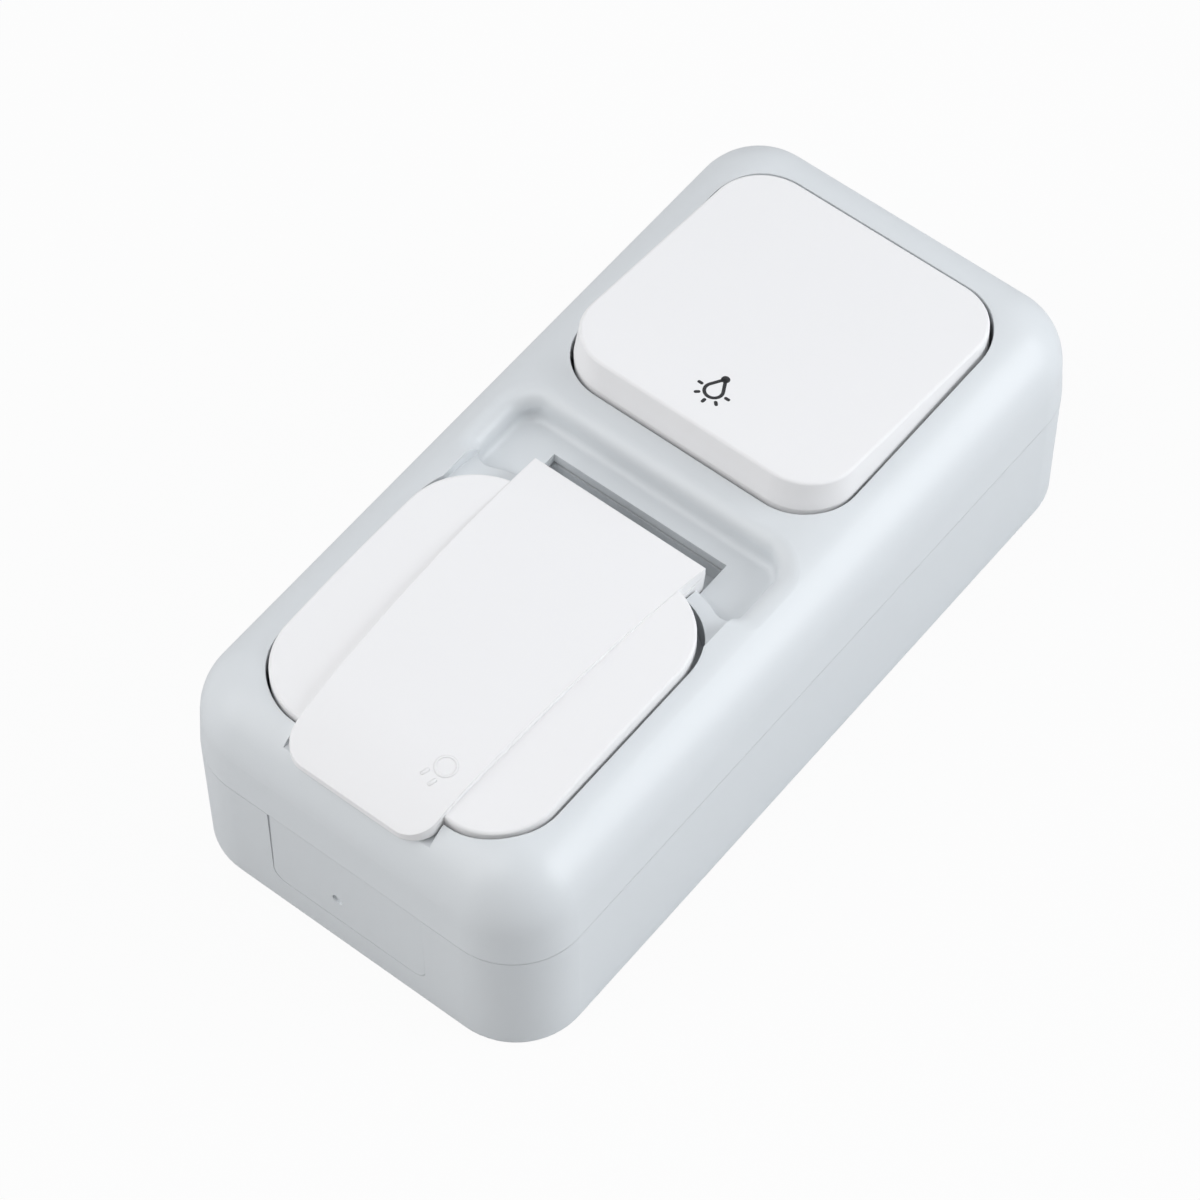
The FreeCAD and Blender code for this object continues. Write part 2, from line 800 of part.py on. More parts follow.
def coil(name, radius, wire, height, turns):
    """A helical spring that stands on the XY plane round the Z axis. Its wire has a few flat
    sides instead of a round section, to keep its mesh light."""
    helix = doc.addObject("Part::Helix", f"{name}_line")
    section = doc.addObject("Part::RegularPolygon", f"{name}_wire")
    section.Polygon = int(number(d.spring_wire_sides))
    bind(section, "Polygon", d.spring_wire_sides)
    for item, path, size in (
        (helix, "Radius", radius),
        (helix, "Height", height),
        (helix, "Pitch", height / turns),
        (section, "Circumradius", wire),
    ):
        setattr(item, path, number(size))
        bind(item, path, size)
    place(section, radius, 0, 0, Vector(1, 0, 0), 90)
    sweep = doc.addObject("Part::Sweep", name)
    doc.recompute()
    sweep.Sections = [section]
    sweep.Spine = (helix, [f"Edge{index + 1}" for index in range(len(helix.Shape.Edges))])
    sweep.Solid = True
    sweep.Frenet = True
    return as_node(sweep, name)


def make_plunger_spring():
    height = d.plunger_head_drop - d.plunger_bore_top - 2 * d.plunger_spring_wire
    radius = d.plunger_radius - d.plunger_spring_wire - d.plunger_play
    spring = coil("plunger_spring", radius, d.plunger_spring_wire, height, d.plunger_spring_turns)
    drop = d.plunger_head_drop - d.plunger_spring_wire
    tilt = math.radians(d.rocker_tilt.value)
    angle = f"{d.rocker_tilt.text} * 1 deg"
    across = Size(-drop.value * math.sin(tilt), f"(0 - {drop.text} * sin({angle}))")
    down = Size(drop.value * math.cos(tilt), f"({drop.text} * cos({angle}))")
    place(spring, 0, switch_y + across, d.rocker_pivot - down, Vector(1, 0, 0), -d.rocker_tilt)


def make_moving_contact():
    """A see-saw contact, drawn level about its knife edge and placed tilted to off."""
    body = new_body("moving_contact")
    place(body, 0, switch_y, d.contact_pivot, Vector(1, 0, 0), d.contact_tilt)
    sketch = new_sketch(body)
    rectangle(sketch, d.contact_width, 2 * d.contact_half_length, d.contact_width / 4)
    pad(body, "see_saw", sketch, d.contact_thickness)
    sketch = new_sketch(body)
    circle(sketch, d.contact_tip_radius, 0, d.contact_tip_reach)
    pad(body, "tip", sketch, d.contact_tip_height, reverse=True)


switch_floor = d.switch_bottom + d.switch_wall
contact_drop = d.contact_tip_reach * (math.pi / 180) * d.contact_tilt


def clamp(body, x, y, bottom):
    """A screw clamp: a block with a wire hole along Y and a screw hole from above."""
    sketch = new_sketch(body, z=bottom)
    rectangle(sketch, d.clamp_size, d.clamp_size, None, x, y)
    pad(body, "clamp", sketch, d.clamp_size)
    sketch = new_sketch(body, "XZ_Plane", z=d.clamp_size / 2 - y)
    circle(sketch, d.wire_radius, x, bottom + d.clamp_size / 2)
    pocket(body, "wire_hole", sketch, d.clamp_size)
    sketch = new_sketch(body, z=bottom + d.clamp_size)
    circle(sketch, d.clamp_screw_radius, x, y)
    pocket(body, "screw_hole", sketch, d.clamp_size / 2)


def make_switch_terminals():
    """The common terminal carries the see-saw's knife edge, the load one the fixed contact."""
    half = d.contact_width / 2
    for name, side, y, post_depth, top in (
        ("common_terminal", 1, switch_y, d.strip_thickness, d.contact_pivot - d.contact_clearance),
        (
            "load_terminal",
            -1,
            switch_y + d.contact_tip_reach,
            2 * d.contact_tip_radius,
            d.contact_pivot - contact_drop - d.contact_tip_height - d.contact_clearance,
        ),
    ):
        body = new_body(name)
        sketch = new_sketch(body, z=switch_floor)
        rectangle(
            sketch,
            d.clamp_offset + half,
            d.contact_width,
            None,
            side * (d.clamp_offset - half) / 2,
            y,
        )
        pad(body, "strip", sketch, d.strip_thickness)
        sketch = new_sketch(body, z=switch_floor)
        rectangle(sketch, d.contact_width, post_depth, None, 0, y)
        pad(body, "post", sketch, top - switch_floor)
        clamp(body, side * d.clamp_offset, y, switch_floor)


def make_switch_body():
    body = new_body("switch_body")
    top = switch_deck_bottom - d.switch_seal_thickness
    ear_inner = d.cradle_width / 2 + d.ear_gap
    ear_top = d.rocker_pivot + d.cradle_hub_radius - d.ear_gap
    sketch = new_sketch(body, y=switch_y, z=d.switch_bottom)
    rectangle(sketch, d.switch_size, d.switch_size, d.switch_corner)
    pad(body, "outer_form", sketch, top - d.switch_bottom)
    sketch = new_sketch(body, y=switch_y, z=top)
    rectangle(sketch, d.switch_flange, d.switch_flange, d.switch_flange_corner)
    pad(body, "flange", sketch, d.switch_flange_thickness, reverse=True)
    inside = d.switch_size - 2 * d.switch_wall
    sketch = new_sketch(body, y=switch_y, z=top)
    rectangle(sketch, inside, inside, d.switch_corner - d.switch_wall)
    pocket(body, "cavity", sketch, top - switch_floor)

    sketch = new_sketch(body, y=switch_y, z=d.ear_root)
    for side in (1, -1):
        x = side * (ear_inner + d.ear_thickness / 2)
        rectangle(sketch, d.ear_thickness, 2 * d.ear_half_length, None, x)
    pad(body, "pivot_ears", sketch, ear_top - d.ear_root)
    sketch = new_sketch(body, "YZ_Plane")
    circle(sketch, d.pivot_pin_radius + d.pivot_play, switch_y, d.rocker_pivot)
    pocket(body, "pivot_holes", sketch, 2 * (ear_inner + d.ear_thickness), both=True)

    lug_end = d.switch_screw_reach + d.boss_radius
    for side in (1, -1):
        middle = switch_y + side * (d.switch_size / 2 + lug_end) / 2
        sketch = new_sketch(body, z=d.switch_lug)
        rectangle(sketch, 2 * d.lug_half_width, lug_end - d.switch_size / 2, None, 0, middle)
        pad(body, "lug", sketch, d.lug_thickness)
        sketch = new_sketch(body, z=d.switch_lug + d.lug_thickness)
        circle(sketch, d.screw_passage, 0, switch_y + side * d.switch_screw_reach)
        pocket(body, "lug_hole", sketch, d.lug_thickness)

    sketch = new_sketch(body, y=switch_y - d.contact_tip_reach, z=switch_floor)
    rectangle(sketch, d.contact_width, 2 * d.strip_thickness)
    stop_top = d.contact_pivot - contact_drop - d.contact_clearance
    pad(body, "off_stop", sketch, stop_top - switch_floor)

    sketch = new_sketch(body, "XZ_Plane", z=d.switch_size / 2 - switch_y)
    for side in (1, -1):
        circle(sketch, d.wire_radius, side * d.clamp_offset, switch_floor + d.clamp_size / 2)
    pocket(body, "wire_holes", sketch, d.switch_wall)


def make_switch_seal():
    body = new_body("switch_seal")
    sketch = new_sketch(body, y=switch_y, z=switch_deck_bottom - d.switch_seal_thickness)
    rectangle(sketch, d.switch_flange, d.switch_flange, d.switch_flange_corner)
    rectangle(sketch, d.deck_opening, d.deck_opening, d.deck_opening_corner)
    pad(body, "sheet", sketch, d.switch_seal_thickness)


def arch_cut(body, name, crown, radius, middle):
    """Cut everything above a lengthwise arch."""
    reach = d.length / 2
    ends = crown - radius + (radius * radius - reach * reach).root()
    ceiling = crown + reach / 4
    sketch = new_sketch(body, "YZ_Plane")
    outline(
        sketch,
        (middle + reach, ceiling),
        (middle - reach, ceiling),
        (middle - reach, ends),
        (middle + reach, ends, -radius),
    )
    return pocket(body, name, sketch, 2 * d.width, both=True)


def roll_tab(body):
    """Roll the front of the lid's band down to the thin tip of the lifting tab."""
    start = socket_y - d.tab_roll_reach
    run = start - band_crown_y
    radius = d.band_arch_radius
    start_top = d.band_crown - radius + (radius * radius - run * run).root()
    sketch = new_sketch(body, "YZ_Plane")
    outline(
        sketch,
        (start, d.band_crown),
        (tab_front, d.band_crown),
        (tab_front, d.tab_tip_top),
        (start, start_top, -d.tab_roll_radius),
    )
    pocket(body, "tab_roll", sketch, 2 * d.band_rear_half, both=True)


def on_top(middle, edge):
    """True for the edges round the arched top of the lid."""
    tangent = edge.tangentAt((edge.FirstParameter + edge.LastParameter) / 2)
    return middle.z > number(d.lid_underside) and abs(tangent.z) < 0.5


def make_lid():
    body = new_body("lid_shell")
    width = d.lid_recess_width - 2 * d.lid_gap
    length = d.lid_recess_length - 2 * d.lid_gap
    corner = d.lid_recess_corner - d.lid_gap
    rear_corner = d.lid_rear_corner - d.lid_gap
    headroom = d.band_crown - d.lid_skirt_bottom + d.lid_skirt_wall
    sketch = new_sketch(body, y=socket_y, z=d.lid_skirt_bottom)
    rectangle(sketch, width, length, corner, top_corner=rear_corner)
    pad(body, "wings", sketch, headroom)
    arch = arch_cut(body, "wing_arch", d.wing_crown, d.wing_arch_radius, socket_y)
    round_edges(body, "wing_edge", arch, d.lid_edge_round, on_top)

    rear, front = band_rear, tab_front
    sketch = new_sketch(body, z=d.band_underside)
    outline(
        sketch,
        (d.band_front_half - d.tab_corner, front),
        (d.band_front_half, front + d.tab_corner, d.tab_corner),
        (d.band_rear_half, rear),
        (-d.band_rear_half, rear),
        (-d.band_front_half, front + d.tab_corner),
        (-d.band_front_half + d.tab_corner, front, d.tab_corner),
    )
    pad(body, "band", sketch, headroom)
    arch_cut(body, "band_arch", d.band_crown, d.band_arch_radius, band_crown_y)
    roll_tab(body)

    inset = d.lid_skirt_wall
    sketch = new_sketch(body, y=socket_y, z=d.lid_skirt_bottom)
    rectangle(
        sketch,
        width - 2 * inset,
        length - 2 * inset,
        corner - inset,
        top_corner=rear_corner - inset,
    )
    pocket(body, "hollow", sketch, d.lid_underside - d.lid_skirt_bottom, reverse=True)
    knuckle_half = d.slot_half_width - d.knuckle_gap
    side = width / 2 + d.lid_gap - knuckle_half
    sketch = new_sketch(body, z=d.lid_skirt_bottom)
    for direction in (1, -1):
        middle = direction * (knuckle_half + side / 2)
        rectangle(sketch, side, 2 * d.lid_rear_corner, None, middle, socket_y + length / 2)
    pocket(body, "rear_skirt", sketch, d.lid_rear_skirt - d.lid_skirt_bottom, reverse=True)

    sketch = new_sketch(body, "YZ_Plane")
    rear_wall = socket_y + length / 2 - d.lid_skirt_wall
    outline(
        sketch,
        (hinge_y + d.knuckle_radius, d.hinge_height, d.knuckle_radius),
        (band_rear, d.band_underside),
        (rear_wall, d.band_underside),
        (rear_wall, d.lid_skirt_bottom),
        (hinge_y - d.knuckle_radius, d.hinge_height),
        (hinge_y, d.hinge_height - d.knuckle_radius, d.knuckle_radius),
    )
    pad(body, "knuckle", sketch, 2 * knuckle_half, both=True)
    sketch = new_sketch(body, "YZ_Plane")
    circle(sketch, d.hinge_pin_radius + d.hinge_play, hinge_y, d.hinge_height)
    pocket(body, "pin_bore", sketch, 2 * d.slot_half_width, both=True)
    sketch = new_sketch(body, z=d.hinge_height - d.knuckle_radius)
    rectangle(sketch, 2 * d.spring_bay, 2 * (d.knuckle_radius + d.knuckle_gap), None, 0, hinge_y)
    pocket(body, "spring_bay", sketch, 2 * d.knuckle_radius + d.knuckle_gap, reverse=True)


def make_lid_gasket():
    body = new_body("lid_gasket")
    grow = (d.lid_gasket_width - d.collar_wall) / 2
    sketch = new_sketch(body, y=socket_y, z=d.lid_underside - d.lid_gasket_thickness)
    ring(sketch, *collar_size(grow), d.lid_gasket_width)
    pad(body, "ring", sketch, d.lid_gasket_thickness)


def make_hinge():
    pin = as_node(doc.addObject("Part::Cylinder", "lid_hinge_pin"), "lid_hinge_pin")
    reach = d.slot_half_width + d.pin_seat
    for path, size in (("Radius", d.hinge_pin_radius), ("Height", 2 * reach)):
        setattr(pin, path, number(size))
        bind(pin, path, size)
    place(pin, -reach, hinge_y, d.hinge_height, Vector(0, 1, 0), 90)

    radius = d.hinge_pin_radius + d.hinge_play + d.lid_spring_wire
    height = 2 * (d.spring_bay - d.knuckle_gap - d.lid_spring_wire)
    spring = coil("lid_spring", radius, d.lid_spring_wire, height, d.lid_spring_turns)
    place(spring, -height / 2, hinge_y, d.hinge_height, Vector(0, 1, 0), 90)


def make_socket_insert():
    body = new_body("socket_insert")
    sketch = new_sketch(body, "XZ_Plane")
    outline(
        sketch,
        (0, insert_bottom),
        (insert_radius, insert_bottom),
        (insert_radius, insert_seat),
        (d.insert_flange_radius, insert_seat),
        (d.insert_flange_radius, insert_top),
        (d.plug_radius, insert_top),
        (d.plug_radius, plug_floor),
        (0, plug_floor),
    )
    turned = body.newObject("PartDesign::Revolution", "turned_form")
    turned.Profile = sketch
    turned.ReferenceAxis = (sketch, ["V_Axis"])
    turned.Angle = 360
    place(body, 0, socket_y, 0)
    sketch = new_sketch(body, z=plug_floor)
    for side in (1, -1):
        circle(sketch, d.pin_hole_radius, side * d.pin_spacing / 2)
    circle(sketch, d.screw_passage)
    slot = d.strip_thickness + 2 * d.earth_slot_play
    for side in (1, -1):
        rectangle(sketch, d.earth_width + 2 * d.earth_slot_play, slot, None, 0, side * earth_middle)
    pocket(body, "floor_holes", sketch, d.insert_floor)
    sketch = new_sketch(body, z=plug_floor)
    circle(sketch, d.screw_head_radius + d.insert_play)
    pocket(body, "screw_recess", sketch, d.centre_screw_recess)


earth_middle = d.earth_reach - d.strip_thickness / 2
earth_strip_top = insert_bottom - d.gasket_play


def make_socket_seal():
    body = new_body("socket_seal")
    sketch = new_sketch(body, y=socket_y, z=d.lid_deck)
    circle(sketch, d.insert_flange_radius)
    circle(sketch, insert_radius + d.insert_play)
    pad(body, "ring", sketch, d.socket_seal_thickness)


def make_socket_body():
    body = new_body("socket_body")
    place(body, 0, socket_y, 0)
    floor = d.socket_bottom + d.chamber_floor
    sketch = new_sketch(body, z=d.socket_bottom)
    circle(sketch, d.socket_radius)
    pad(body, "outer_form", sketch, insert_bottom - d.socket_bottom)
    sketch = new_sketch(body, z=insert_bottom)
    chamber_width = 2 * (d.contact_tube_radius + d.chamber_play)
    chamber_front = d.contact_tube_radius + d.chamber_play
    chamber_rear = clamp_reach + d.clamp_size / 2 + d.chamber_play
    for side in (1, -1):
        rectangle(
            sketch,
            chamber_width,
            chamber_front + chamber_rear,
            None,
            side * d.pin_spacing / 2,
            (chamber_front - chamber_rear) / 2,
        )
    pocket(body, "chambers", sketch, insert_bottom - floor)
    sketch = new_sketch(body, z=insert_bottom)
    play = 2 * d.earth_slot_play
    rectangle(sketch, d.earth_width + play, 2 * d.earth_reach + play)
    pocket(body, "earth_channel", sketch, d.strip_thickness + d.gasket_play)
    sketch = new_sketch(body, z=insert_bottom)
    circle(sketch, d.boss_bore)
    pocket(body, "centre_bore", sketch, insert_bottom - floor)
    lug_end = d.socket_screw_reach + d.boss_radius
    sketch = new_sketch(body, z=d.socket_lug)
    for side in (1, -1):
        middle = side * (d.earth_reach + lug_end) / 2
        rectangle(sketch, 2 * d.lug_half_width, lug_end - d.earth_reach, None, 0, middle)
    pad(body, "lugs", sketch, d.lug_thickness)
    sketch = new_sketch(body, z=d.socket_lug + d.lug_thickness)
    for side in (1, -1):
        circle(sketch, d.screw_passage, 0, side * d.socket_screw_reach)
    pocket(body, "lug_holes", sketch, d.lug_thickness)


clamp_reach = d.contact_tube_radius + d.clamp_size / 2 + d.chamber_play


def make_pin_contacts():
    """Each live contact is a slit tube that grips a plug pin, with a screw clamp beside it."""
    floor = d.socket_bottom + d.chamber_floor
    top = insert_bottom - d.chamber_play
    for name, side in (("line_contact", 1), ("neutral_contact", -1)):
        body = new_body(name)
        place(body, side * d.pin_spacing / 2, socket_y, 0)
        sketch = new_sketch(body, z=floor)
        circle(sketch, d.contact_tube_radius)
        pad(body, "tube", sketch, top - floor)
        sketch = new_sketch(body, z=floor)
        rectangle(sketch, d.clamp_size, clamp_reach, None, 0, -clamp_reach / 2)
        pad(body, "strip", sketch, d.strip_thickness)
        sketch = new_sketch(body, z=top)
        circle(sketch, d.contact_bore_radius)
        pocket(body, "pin_bore", sketch, top - floor - d.strip_thickness)
        sketch = new_sketch(body, z=top)
        rectangle(sketch, d.contact_slit, 2 * d.contact_tube_radius, None, 0, d.contact_tube_radius)
        pocket(body, "slit", sketch, top - floor - 2 * d.strip_thickness)
        clamp(body, 0, -clamp_reach, floor)


def make_earth_bracket():
    """One bent strip whose two ends stand up inside the plug well as spring clips."""
    body = new_body("earth_bracket")
    place(body, 0, socket_y, 0)
    low = earth_strip_top - d.strip_thickness
    outer, inner = d.earth_reach, d.earth_reach - d.strip_thickness
    top = plug_floor + d.earth_height
    knee = plug_floor + d.earth_height / 2
    sketch = new_sketch(body, "YZ_Plane")
    outline(
        sketch,
        (-outer, low),
        (outer, low),
        (outer, knee),
        (outer - d.earth_bulge, (knee + top) / 2),
        (outer, top),
        (inner, top),
        (inner - d.earth_bulge, (knee + top) / 2),
        (inner, knee),
        (inner, earth_strip_top),
        (-inner, earth_strip_top),
        (-inner, knee),
        (d.earth_bulge - inner, (knee + top) / 2),
        (-inner, top),
        (-outer, top),
        (d.earth_bulge - outer, (knee + top) / 2),
        (-outer, knee),
    )
    pad(body, "strip", sketch, d.earth_width, both=True)
    sketch = new_sketch(body, z=earth_strip_top)
    circle(sketch, d.screw_passage)
    pocket(body, "screw_hole", sketch, d.strip_thickness)


def make_screws(name, seats, radius, length, head_radius, head_height):
    """A set of like screws, each standing on its seat: head, shank and a cross recess."""
    screws = []
    for x, y, seat in seats:
        body = doc.addObject("PartDesign::Body", "screw")
        sketch = new_sketch(body, "XZ_Plane")
        outline(
            sketch,
            (0, -length),
            (radius, -length),
            (radius, 0),
            (head_radius, 0),
            (head_radius, head_height - d.screw_head_bevel),
            (head_radius - d.screw_head_bevel, head_height),
            (0, head_height),
        )
        turned = body.newObject("PartDesign::Revolution", "turned_form")
        turned.Profile = sketch
        turned.ReferenceAxis = (sketch, ["V_Axis"])
        turned.Angle = 360
        arm = 2 * (head_radius - d.screw_head_bevel) - d.screw_slot
        for width, depth in ((arm, d.screw_slot), (d.screw_slot, arm)):
            sketch = new_sketch(body, z=head_height)
            rectangle(sketch, width, depth)
            pocket(body, "recess", sketch, d.screw_slot_depth)
        place(body, x, y, seat)
        screws.append(body)
    group = as_node(doc.addObject("Part::Compound", name), name)
    group.Links = screws


def make_all_screws():
    standard = (d.screw_radius, d.screw_length, d.screw_head_radius, d.screw_head_height)
    make_screws("cover_screws", [(x, y, seat) for x, y, _, seat in boss_places], *standard)
    mechanism_length = d.screw_length / 2
    for name, y, reach, lug in (
        ("switch_fixing_screws", switch_y, d.switch_screw_reach, d.switch_lug),
        ("socket_fixing_screws", socket_y, d.socket_screw_reach, d.socket_lug),
    ):
        seats = [(0, y + side * reach, lug + d.lug_thickness) for side in (1, -1)]
        make_screws(
            name, seats, d.screw_radius, mechanism_length, d.screw_head_radius, d.screw_head_height
        )
    seat = plug_floor - d.centre_screw_recess
    make_screws(
        "socket_centre_screw",
        [(0, socket_y, seat)],
        d.screw_radius,
        mechanism_length,
        d.screw_head_radius,
        d.screw_head_height,
    )
    clamp_radius = d.clamp_screw_radius - d.gasket_play
    clamp_screw = (clamp_radius, d.clamp_size / 2, d.screw_head_radius - d.screw_slot, d.screw_head_height)
    clamp_top = switch_floor + d.clamp_size
    make_screws(
        "switch_terminal_screws",
        [
            (d.clamp_offset, switch_y, clamp_top),
            (-d.clamp_offset, switch_y + d.contact_tip_reach, clamp_top),
        ],
        *clamp_screw,
    )
    clamp_top = d.socket_bottom + d.chamber_floor + d.clamp_size
    make_screws(
        "socket_terminal_screws",
        [(side * d.pin_spacing / 2, socket_y - clamp_reach, clamp_top) for side in (1, -1)],
        *clamp_screw,
    )


def check_document():
    """Stop if any object failed, or a cut removed nothing."""
    for item in doc.Objects:
        if "Invalid" in item.State or "Error" in item.State:
            raise RuntimeError(f"{item.Label} failed: {item.State}")
        if item.TypeId in ("PartDesign::Pocket", "PartDesign::SubtractiveLoft"):
            if item.Shape.Volume >= item.BaseFeature.Shape.Volume:
                raise RuntimeError(f"{item.Label} cuts nothing")
    for node in nodes:
        if node.Shape.isNull() or not node.Shape.isValid() or not node.Shape.Solids:
            raise RuntimeError(f"{node.Label} has no valid solid")
        if node.TypeId == "PartDesign::Body" and len(node.Shape.Solids) != 1:
            raise RuntimeError(f"{node.Label} fell apart")


make_base()
make_entry_insert()
make_box_gasket()
make_cover()
make_rocker()
make_cradle()
make_plunger()
make_plunger_spring()
make_moving_contact()
make_switch_terminals()
make_switch_body()
make_switch_seal()
make_lid()
make_lid_gasket()
make_hinge()
make_socket_insert()
make_socket_seal()
make_socket_body()
make_pin_contacts()
make_earth_bracket()
make_all_screws()
doc.recompute()
check_document()

os.makedirs("parts", exist_ok=True)
for node in nodes:
    node.Shape.exportStep(f"parts/{node.Label}.step")
    print(node.Label, len(node.Shape.Solids), round(node.Shape.Volume, 1))
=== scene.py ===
import json
import math

import bmesh
import bpy
from mathutils import Matrix, Vector


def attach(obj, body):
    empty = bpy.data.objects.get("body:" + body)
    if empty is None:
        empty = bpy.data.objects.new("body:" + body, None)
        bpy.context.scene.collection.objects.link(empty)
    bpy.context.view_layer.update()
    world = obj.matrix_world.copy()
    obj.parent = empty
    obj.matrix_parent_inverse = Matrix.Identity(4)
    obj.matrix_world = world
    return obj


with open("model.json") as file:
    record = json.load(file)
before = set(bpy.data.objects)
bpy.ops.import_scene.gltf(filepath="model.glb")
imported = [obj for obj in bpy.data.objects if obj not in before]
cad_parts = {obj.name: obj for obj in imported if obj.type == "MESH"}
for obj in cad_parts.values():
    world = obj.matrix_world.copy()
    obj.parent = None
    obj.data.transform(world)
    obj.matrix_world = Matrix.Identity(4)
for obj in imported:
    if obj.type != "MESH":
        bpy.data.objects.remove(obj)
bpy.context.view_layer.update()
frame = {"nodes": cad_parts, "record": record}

mm = 0.001
cadNodes = frame["nodes"]
print("frame loaded:", len(cadNodes), "nodes")


# small helpers for working as by hand

def startClean():
    if bpy.context.mode != "OBJECT":
        bpy.ops.object.mode_set(mode="OBJECT")
    bpy.ops.object.select_all(action="DESELECT")


def pick(obj, only):
    # in edit mode: select only the vertices whose place passes the test
    bpy.ops.mesh.select_all(action="DESELECT")
    mesh = bmesh.from_edit_mesh(obj.data)
    for vert in mesh.verts:
        vert.select = only(vert.co)
    mesh.select_flush_mode()
    bmesh.update_edit_mesh(obj.data)


def applyModifier(obj, kind, **settings):
    modifier = obj.modifiers.new(kind.title(), kind)
    for name, value in settings.items():
        setattr(modifier, name, value)
    bpy.context.view_layer.objects.active = obj
    bpy.ops.object.modifier_apply(modifier=modifier.name)


def joinInto(name, parts):
    startClean()
    for part in parts:
        part.select_set(True)
    bpy.context.view_layer.objects.active = parts[0]
    if len(parts) > 1:
        bpy.ops.object.join()
    parts[0].name = parts[0].data.name = name
    return parts[0]


def settle(obj):
    # the place goes into the mesh, the object stays at the origin
    startClean()
    obj.select_set(True)
    bpy.context.view_layer.objects.active = obj
    bpy.ops.object.transform_apply(location=True, rotation=True, scale=True)


# effects that several finishes share, as node groups

def newGroup(name, inputs, outputs):
    group = bpy.data.node_groups.new(name, "ShaderNodeTree")
    for label, value in inputs.items():
        socket = group.interface.new_socket(label, in_out="INPUT", socket_type="NodeSocketFloat")
        socket.default_value = value
    for label in outputs:
        group.interface.new_socket(label, in_out="OUTPUT", socket_type="NodeSocketFloat")
    return group, group.nodes.new("NodeGroupInput"), group.nodes.new("NodeGroupOutput")


def addNode(tree, kind, values=None, **settings):
    node = tree.nodes.new(kind)
    for name, value in settings.items():
        setattr(node, name, value)
    for name, value in (values or {}).items():
        node.inputs[name].default_value = value
    return node


def mathNode(tree, operation, first, second, clamp=False):
    node = addNode(tree, "ShaderNodeMath", operation=operation, use_clamp=clamp)
    for socket, value in zip(node.inputs, (first, second)):
        if isinstance(value, (int, float)):
            socket.default_value = value
        else:
            tree.links.new(value, socket)
    return node.outputs[0]


def buildMouldGrain():
    # spark-eroded grain of a mould, with the slow waviness and flow of a moulded wall
    group, given, made = newGroup(
        "mouldGrain",
        {"Grain Scale": 9000.0, "Flow Scale": 60.0, "Flow Share": 0.3},
        ("Height", "Gloss", "Drift"),
    )
    link = group.links.new
    place = addNode(group, "ShaderNodeTexCoord")
    grain = addNode(group, "ShaderNodeTexNoise", {"Detail": 3.0, "Roughness": 0.6})
    flow = addNode(group, "ShaderNodeTexNoise", {"Detail": 4.0, "Roughness": 0.55, "Distortion": 0.6})
    drift = addNode(group, "ShaderNodeTexNoise", {"Scale": 18.0, "Detail": 2.0, "Roughness": 0.5})
    for texture in (grain, flow, drift):
        link(place.outputs["Object"], texture.inputs["Vector"])
    link(given.outputs["Grain Scale"], grain.inputs["Scale"])
    link(given.outputs["Flow Scale"], flow.inputs["Scale"])
    flowPart = mathNode(group, "MULTIPLY", flow.outputs["Fac"], given.outputs["Flow Share"])
    link(mathNode(group, "ADD", grain.outputs["Fac"], flowPart), made.inputs["Height"])
    both = mathNode(group, "ADD", grain.outputs["Fac"], flow.outputs["Fac"])
    link(mathNode(group, "MULTIPLY", both, 0.5), made.inputs["Gloss"])    # their mean
    link(drift.outputs["Fac"], made.inputs["Drift"])
    return group


def buildEdgeRubAndHighlight():
    # 1 along sharp outer edges, broken up so that it isn't even: the mask for a lighter edge colour that
    # is partly edge wear and partly a painted edge highlight
    group, given, made = newGroup(
        "edgeRubAndHighlight",
        {"Reach": 0.0005, "Gain": 4.0, "Break Scale": 400.0},
        ("Edge",),
    )
    link = group.links.new
    rounded = addNode(group, "ShaderNodeBevel", samples=4)
    link(given.outputs["Reach"], rounded.inputs["Radius"])
    shape = addNode(group, "ShaderNodeNewGeometry")
    dot = addNode(group, "ShaderNodeVectorMath", operation="DOT_PRODUCT")
    link(rounded.outputs["Normal"], dot.inputs[0])
    link(shape.outputs["Normal"], dot.inputs[1])
    turned = mathNode(group, "SUBTRACT", 1.0, dot.outputs["Value"])
    strong = mathNode(group, "MULTIPLY", turned, given.outputs["Gain"], clamp=True)
    place = addNode(group, "ShaderNodeTexCoord")
    patches = addNode(group, "ShaderNodeTexNoise", {"Detail": 3.0})
    link(place.outputs["Object"], patches.inputs["Vector"])
    link(given.outputs["Break Scale"], patches.inputs["Scale"])
    link(mathNode(group, "MULTIPLY", strong, patches.outputs["Fac"]), made.inputs["Edge"])
    return group


def buildDustFall():
    # a trace of dust that settles on what faces up
    group, given, made = newGroup("dustFall", {"Speck Scale": 2600.0, "Amount": 0.2}, ("Dust",))
    link = group.links.new
    place = addNode(group, "ShaderNodeTexCoord")
    specks = addNode(group, "ShaderNodeTexNoise", {"Detail": 5.0, "Roughness": 0.7})
    clouds = addNode(group, "ShaderNodeTexNoise", {"Scale": 70.0, "Detail": 2.0})
    for texture in (specks, clouds):
        link(place.outputs["Object"], texture.inputs["Vector"])
    link(given.outputs["Speck Scale"], specks.inputs["Scale"])
    fine = addNode(group, "ShaderNodeMapRange", {"From Min": 0.58, "From Max": 0.8})
    link(specks.outputs["Fac"], fine.inputs["Value"])
    shape = addNode(group, "ShaderNodeNewGeometry")
    split = addNode(group, "ShaderNodeSeparateXYZ")
    link(shape.outputs["Normal"], split.inputs["Vector"])
    upward = mathNode(group, "MAXIMUM", split.outputs["Z"], 0.0)
    lying = mathNode(group, "MULTIPLY", fine.outputs["Result"], upward)
    patchy = mathNode(group, "MULTIPLY", lying, clouds.outputs["Fac"])
    link(mathNode(group, "MULTIPLY", patchy, given.outputs["Amount"]), made.inputs["Dust"])
    return group


